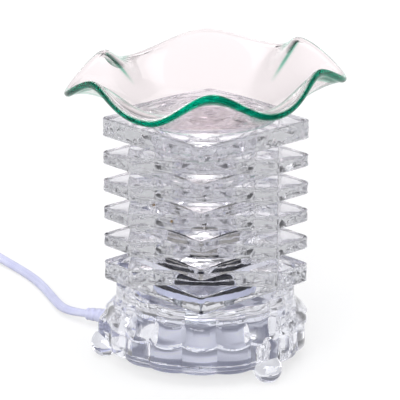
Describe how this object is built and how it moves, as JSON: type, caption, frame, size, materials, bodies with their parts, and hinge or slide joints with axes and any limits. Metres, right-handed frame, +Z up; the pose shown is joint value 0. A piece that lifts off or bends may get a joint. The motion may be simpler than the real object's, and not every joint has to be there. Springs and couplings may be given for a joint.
{
  "type": "wax melt warmer",
  "caption": "Electric wax melt warmer: fluted clear glass dish on a tower of crossed glass tiles with a capsule lamp inside, panelled glass base on ball feet, corded.",
  "frame": {"origin": "on the floor, under the axis of the tile tower", "axes": "+Z up along the tower, -Y towards the viewer of the picture, +X to the viewer's right"},
  "size_m": [0.3013, 0.2197, 0.1456],
  "materials": {
    "dish_glass": "fire-polished, slightly green at the rim",
    "tile_glass": "polished clear",
    "base_glass": "pressed clear",
    "lamp_glass": "thin clear quartz",
    "cover_plastic": "white moulded plastic",
    "black_enamel": "black enamelled steel",
    "zinc_steel": "zinc plated",
    "white_ceramic": "white steatite ceramic",
    "contact_brass": "spring brass",
    "wire_sleeve": "white silicone sleeve",
    "pin_metal": "nickel",
    "tungsten": "drawn tungsten",
    "lead_pvc": "white soft PVC",
    "tie_strap": "black woven strap",
    "dimmer_plastic": "white moulded plastic",
    "wheel_plastic": "white moulded plastic",
    "potentiometer_case": "black moulded plastic",
    "circuit_board": "green glass-fibre board",
    "plug_pvc": "white moulded PVC",
    "blade_brass": "plain brass"
  },
  "bodies": {
    "tower": {"base_cover": "cover_plastic", "clamp_washer": "zinc_steel", "cord_coil": "lead_pvc", "cord_inner": "lead_pvc", "cord_lead": "lead_pvc", "cord_tail": "lead_pvc", "cord_tie": "tie_strap", "dimmer_board": "circuit_board", "dimmer_lower_shell": "dimmer_plastic", "dimmer_potentiometer": "potentiometer_case", "dimmer_screws": "zinc_steel", "dimmer_upper_shell": "dimmer_plastic", "glass_base": "base_glass", "glass_tile_01": "tile_glass", "glass_tile_02": "tile_glass", "glass_tile_03": "tile_glass", "glass_tile_04": "tile_glass", "glass_tile_05": "tile_glass", "glass_tile_06": "tile_glass", "glass_tile_07": "tile_glass", "glass_tile_08": "tile_glass", "glass_tile_09": "tile_glass", "glass_tile_10": "tile_glass", "glass_tile_11": "tile_glass", "holder_bracket": "zinc_steel", "holder_screws": "zinc_steel", "holder_wires": "wire_sleeve", "lampholder_body": "white_ceramic", "lampholder_contacts": "contact_brass", "lock_nut": "zinc_steel", "plug_blades": "blade_brass", "plug_body": "plug_pvc", "socket_plate": "black_enamel", "strain_relief": "lead_pvc", "threaded_nipple": "zinc_steel"},
    "dish": {"glass_dish": "dish_glass"},
    "lamp": {"lamp_capsule": "lamp_glass", "lamp_pins": "pin_metal", "lamp_filament": "tungsten"},
    "dimmer_thumbwheel": {"dimmer_wheel": "wheel_plastic"}
  },
  "joints": [
    {"name": "dish_lift", "type": "slide", "parent": "tower", "child": "dish", "axis": [0, 0, 1], "range_m": [0, 0.06]},
    {"name": "lamp_pull", "type": "slide", "parent": "tower", "child": "lamp", "axis": [0, 0, 1], "range_m": [0, 0.012]},
    {"name": "dimmer_turn", "type": "hinge", "parent": "tower", "child": "dimmer_thumbwheel", "pos_m": [-0.165, 0.141, 0.0098], "axis": [0.2079, 0.9781, 0], "range_deg": [0, 270]}
  ]
}
